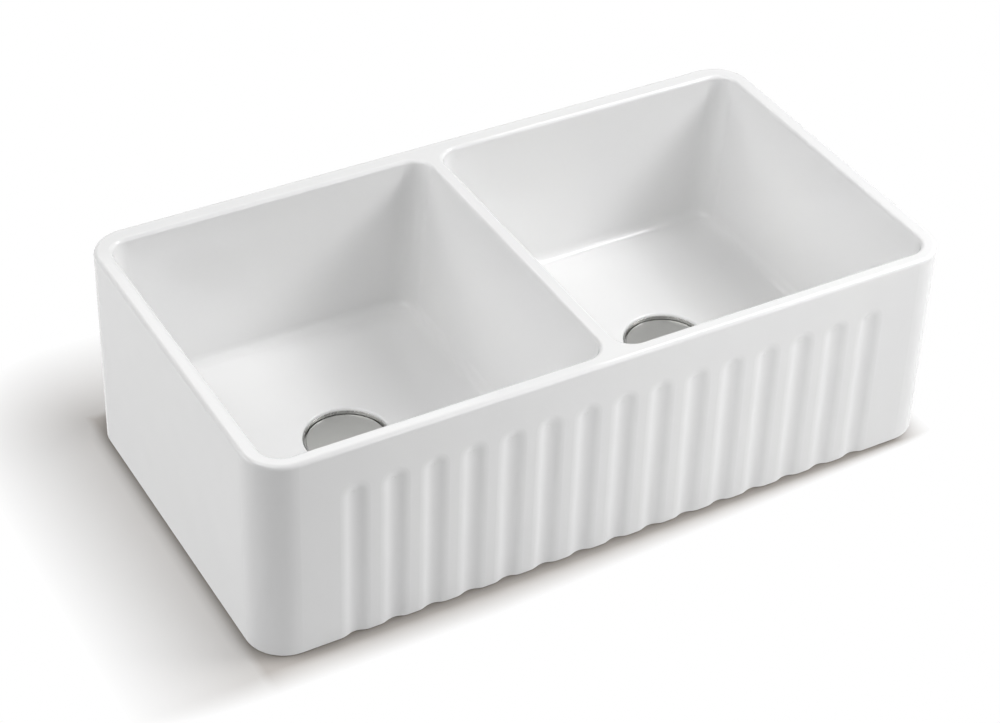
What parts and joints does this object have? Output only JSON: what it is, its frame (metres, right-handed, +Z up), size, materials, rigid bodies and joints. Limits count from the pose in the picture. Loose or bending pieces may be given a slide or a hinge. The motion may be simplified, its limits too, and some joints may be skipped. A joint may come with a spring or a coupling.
{
  "type": "farmhouse kitchen sink",
  "caption": "Divided farmhouse sink with a fluted apron front; each bowl drains through a recessed basket strainer under a flat lift-off lid.",
  "frame": {"origin": "centre of the base, on the surface that the sink stands on", "axes": "+X along the apron to the right as seen from the front, +Y from the apron to the back wall, +Z up"},
  "size_m": [0.838, 0.451, 0.251],
  "materials": {
    "fireclay_glaze": "gloss white glaze",
    "satin_steel": "satin stainless",
    "brushed_lid": "circular brushed stainless",
    "polished_steel": "polished stainless",
    "black_rubber": "matt",
    "fibre_board": "matt",
    "white_plastic": "moulded matt"
  },
  "bodies": {
    "sink": {"sink_body": "fireclay_glaze", "left_strainer_body": "satin_steel", "left_flange_seal": "black_rubber", "left_body_gasket": "black_rubber", "left_friction_ring": "fibre_board", "left_locknut": "white_plastic", "right_strainer_body": "satin_steel", "right_flange_seal": "black_rubber", "right_body_gasket": "black_rubber", "right_friction_ring": "fibre_board", "right_locknut": "white_plastic"},
    "left_basket_set": {"left_basket": "satin_steel", "left_stopper": "black_rubber", "left_stopper_washer": "satin_steel", "left_basket_post": "satin_steel", "left_detent_clip": "satin_steel", "left_basket_knob": "polished_steel"},
    "left_lid": {"left_strainer_lid": "brushed_lid"},
    "right_basket_set": {"right_basket": "satin_steel", "right_stopper": "black_rubber", "right_stopper_washer": "satin_steel", "right_basket_post": "satin_steel", "right_detent_clip": "satin_steel", "right_basket_knob": "polished_steel"},
    "right_lid": {"right_strainer_lid": "brushed_lid"}
  },
  "joints": [
    {"name": "left_basket_lift", "type": "slide", "parent": "sink", "child": "left_basket_set", "axis": [0, 0, 1], "range_m": [0, 0.26]},
    {"name": "left_lid_lift", "type": "slide", "parent": "left_basket_set", "child": "left_lid", "axis": [0, 0, 1], "range_m": [0, 0.215]},
    {"name": "right_basket_lift", "type": "slide", "parent": "sink", "child": "right_basket_set", "axis": [0, 0, 1], "range_m": [0, 0.26]},
    {"name": "right_lid_lift", "type": "slide", "parent": "right_basket_set", "child": "right_lid", "axis": [0, 0, 1], "range_m": [0, 0.215]}
  ]
}
